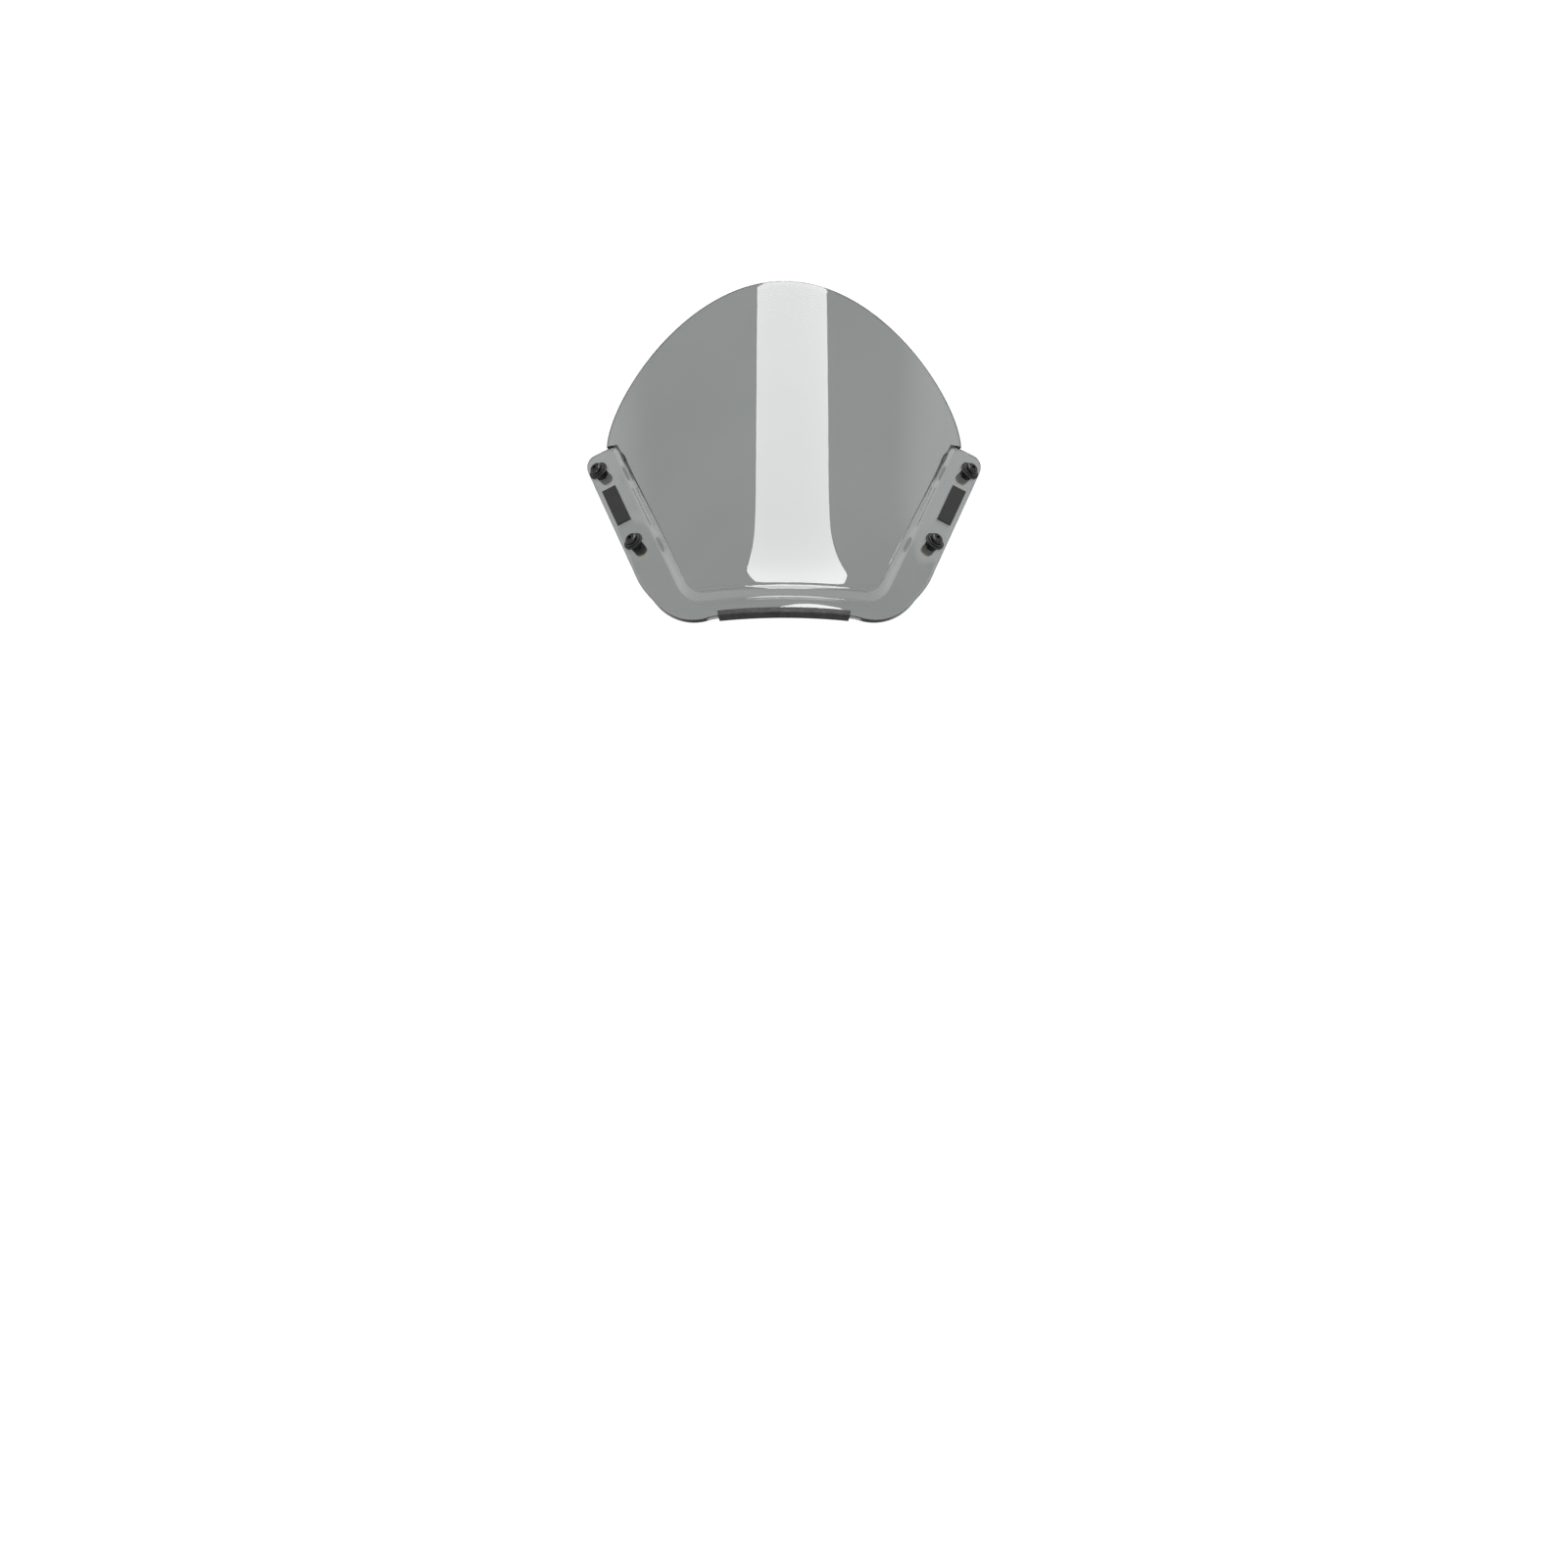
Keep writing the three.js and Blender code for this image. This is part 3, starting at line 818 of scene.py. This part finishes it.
def washer_mesh(joint):
    """Nylon washer, with soft edges and a shallow dish under the screw's head."""
    soft = 0.32
    profile = arc((WASHER_RADIUS - soft, WASHER_TOP - soft), soft, 90, 0)
    profile = [(HEAD_RADIUS + 0.35, WASHER_TOP)] + profile
    profile = [(HEAD_RADIUS + 0.1, WASHER_TOP - 0.12)] + profile
    profile = arc((WASHER_BORE + 0.2, WASHER_TOP - 0.32), 0.2, 180, 90, 3) + profile
    profile += arc((WASHER_RADIUS - soft, WASHER_FOOT + soft), soft, 0, -90)
    profile += arc((WASHER_BORE + 0.2, WASHER_FOOT + 0.2), 0.2, -90, -180, 3)
    points, faces = turned(profile, SEGMENTS)
    return stood_on(joint, mesh_from("washer", points.reshape(-1, 3) * MM, faces, 40))


def hexagon_radius(angle):
    """Distance from the axis to a hexagon's side, for the socket."""
    sector = math.pi / 3
    return SOCKET_FLAT / math.cos((angle + sector / 2) % sector - sector / 2)


def thread_rings(angles, top):
    """Rings of (radius, height) up the shank, whose ridges climb round it as a right-hand thread."""
    rings = []
    for height in np.arange(SCREW_END, top, THREAD_PITCH / 8):
        phase = (height / THREAD_PITCH - angles / (2 * math.pi)) % 1
        ridge = 1 - np.abs(2 * phase - 1)
        lead = min((height - SCREW_END) / THREAD_LEAD, 1)
        rings.append([(r, height) for r in THREAD_RADIUS - THREAD_DEPTH * (1 - ridge * lead)])
    return rings


def head_profile(neck):
    """(radius, height) pairs from the plain neck, round the rim and over the dome."""
    shank = THREAD_RADIUS - THREAD_DEPTH / 2
    rim = HEAD_FOOT + HEAD_RIM
    profile = [
        (shank, neck),
        (shank, HEAD_FOOT - HEAD_EDGE),
        (shank + HEAD_EDGE, HEAD_FOOT),
        (HEAD_RADIUS - HEAD_EDGE, HEAD_FOOT),
        (HEAD_RADIUS, HEAD_FOOT + HEAD_EDGE),
        (HEAD_RADIUS, rim),
    ]
    for angle in np.linspace(0, math.pi / 2, 15)[1:]:
        radius = HEAD_CROWN + (HEAD_RADIUS - HEAD_CROWN) * math.cos(angle)
        profile.append((radius, rim + (HEAD_HEIGHT - HEAD_RIM) * math.sin(angle)))
    return profile


def socket_rings(angles):
    """Rings of (radius, height) down into the hexagon socket, to the point that the drill leaves."""
    mouth = HEAD_FOOT + HEAD_HEIGHT
    floor = mouth - SOCKET_DEPTH
    socket = np.array([hexagon_radius(angle) for angle in angles])
    round_mouth = np.full(len(angles), SOCKET_FLAT / math.cos(math.pi / 6) + SOCKET_LIP)
    walls = [(round_mouth, mouth), (socket * 1.01, mouth - 0.1), (socket, mouth - 0.2), (socket, floor)]
    rings = [[(r, height) for r in radii] for radii, height in walls]
    rings.append([(SOCKET_POINT_RADIUS, floor - SOCKET_LIP)] * len(angles))
    rings.append([(0.0, floor - SOCKET_POINT_DEPTH)] * len(angles))
    return rings


def screw_mesh(joint):
    """Button-head screw: a threaded shank, a domed head and a hexagon socket in one skin."""
    angles = np.linspace(0, 2 * math.pi, 72, endpoint=False)
    neck = HEAD_FOOT - HEAD_NECK
    rings = [[(0.0, SCREW_END)] * len(angles)] + thread_rings(angles, neck)
    rings += [[point] * len(angles) for point in head_profile(neck)]
    rings += socket_rings(angles)
    points = []
    for index, angle in enumerate(angles):
        for ring in rings:
            radius, height = ring[index]
            points.append((radius * math.cos(angle), radius * math.sin(angle), height))
    faces = grid_faces(len(angles), len(rings), wrap_columns=True)
    return stood_on(joint, mesh_from("screw", np.array(points) * MM, faces, 32))


def make_fixing(label, materials):
    joint = JOINTS[f"screw_turn_{label}"]
    washer = f"washer_{label}"
    screw = f"screw_{label}"
    pieces = [
        (f"well_nut_rubber_{label}", "soft", rubber_mesh, "black_rubber", "screen"),
        (f"well_nut_insert_{label}", "knurled", insert_mesh, "brass", "screen"),
        (washer, "dished", washer_mesh, "black_nylon", washer),
        (screw, "threaded", screw_mesh, "black_steel", screw),
    ]
    for cad_node, look, make_mesh, slot, body in pieces:
        finish_piece(f"{cad_node}_{look}", make_mesh(joint), materials[slot], body, cad_node)


# ---------------------------------------------------------------- edge trim and damper pads

TRIM_HALF_RUN = 48.0
TRIM_GRIP = 5.0
TRIM_WALL = 1.2
TRIM_NIB = 0.25
TRIM_NIBS = (-1.2, -3.6)
DAMPER_HEIGHT = 1.5
DAMPER_ROUND = 0.45
DAMPER_INNER = 9.0
DAMPER_OUTER = 20.0
DAMPER_CLEAR = 15.0


def trim_section():
    """Corners of the rubber channel as (below the lip's edge, off the sheet's middle). Two nibs on
    each side grip the sheet."""
    inner = SHEET / 2 + GAP
    outer = inner + TRIM_WALL
    bottom = GAP + TRIM_WALL
    nib_half = 0.6
    tip = 0.55
    corner = 1.3
    first, second = TRIM_NIBS
    right = [(GAP - nib_half, inner), (first, inner - TRIM_NIB), (first - nib_half, inner)]
    right += [(second + nib_half, inner), (second, inner - TRIM_NIB), (second - nib_half, inner)]
    right += arc((-TRIM_GRIP + tip, (inner + outer) / 2), tip, -90, -270, 8)
    right += arc((bottom - corner, outer - corner), corner, 90, 0, 6)
    left = [(below, -off) for below, off in reversed(right)]
    return right[::-1] + left[::-1]


def make_trim(material):
    section = np.array(trim_section())
    rings = []
    for run in np.linspace(-TRIM_HALF_RUN, TRIM_HALF_RUN, 97):
        edge = sheet_middle(run, -1.0)
        normal = sheet_normal(run, -1.0)
        down = unit(edge - sheet_middle(run, -1 + PROBE_ACROSS))
        rings.append(edge + section[:, :1] * down + section[:, 1:] * normal)
    rings = np.array(rings)
    faces = grid_faces(len(rings), len(section), wrap_rows=True)
    faces.append(list(range(len(section))))
    faces.append([(len(rings) - 1) * len(section) + index for index in range(len(section))][::-1])
    mesh = mesh_from("trim", to_frame(rings.reshape(-1, 3)), faces, 50)
    finish_piece("lower_edge_trim_soft", mesh, material, "screen", "lower_edge_trim")


def make_damper(side_name, side, material):
    low = SIDE_START + HOLES[1][0] + DAMPER_CLEAR
    high = SIDE_START + HOLES[0][0] - DAMPER_CLEAR
    runs = np.sort(side * np.linspace(low, high, 41))[:, None]
    out = np.linspace(-DAMPER_OUTER, -DAMPER_INNER, 21)
    across = out[None, :] / flange_width(runs)
    middle = sheet_middle(runs, across)
    normal = sheet_normal(runs, across)
    half = DAMPER_HEIGHT / 2
    mesh = rounded_slab("damper", middle, normal, half, DAMPER_ROUND, SHEET / 2 + GAP + half)
    mesh.set_sharp_from_angle(angle=math.radians(60))
    name = f"damper_pad_{side_name}"
    finish_piece(f"{name}_foam", mesh, material, "screen", name)


# ---------------------------------------------------------------- the whole

make_camera()
make_world()
make_floor()
make_softbox()
make_ceiling()

materials = {
    "black_rubber": rubber_material(),
    "black_foam": foam_material(),
    "black_nylon": nylon_material(),
    "brass": brass_material(),
    "black_steel": black_steel_material(),
}
make_screen(acrylic_material())
make_trim(materials["black_rubber"])
for side_name, side in (("left", -1), ("right", 1)):
    make_damper(side_name, side, materials["black_foam"])
    for level in ("upper", "lower"):
        make_fixing(f"{level}_{side_name}", materials)
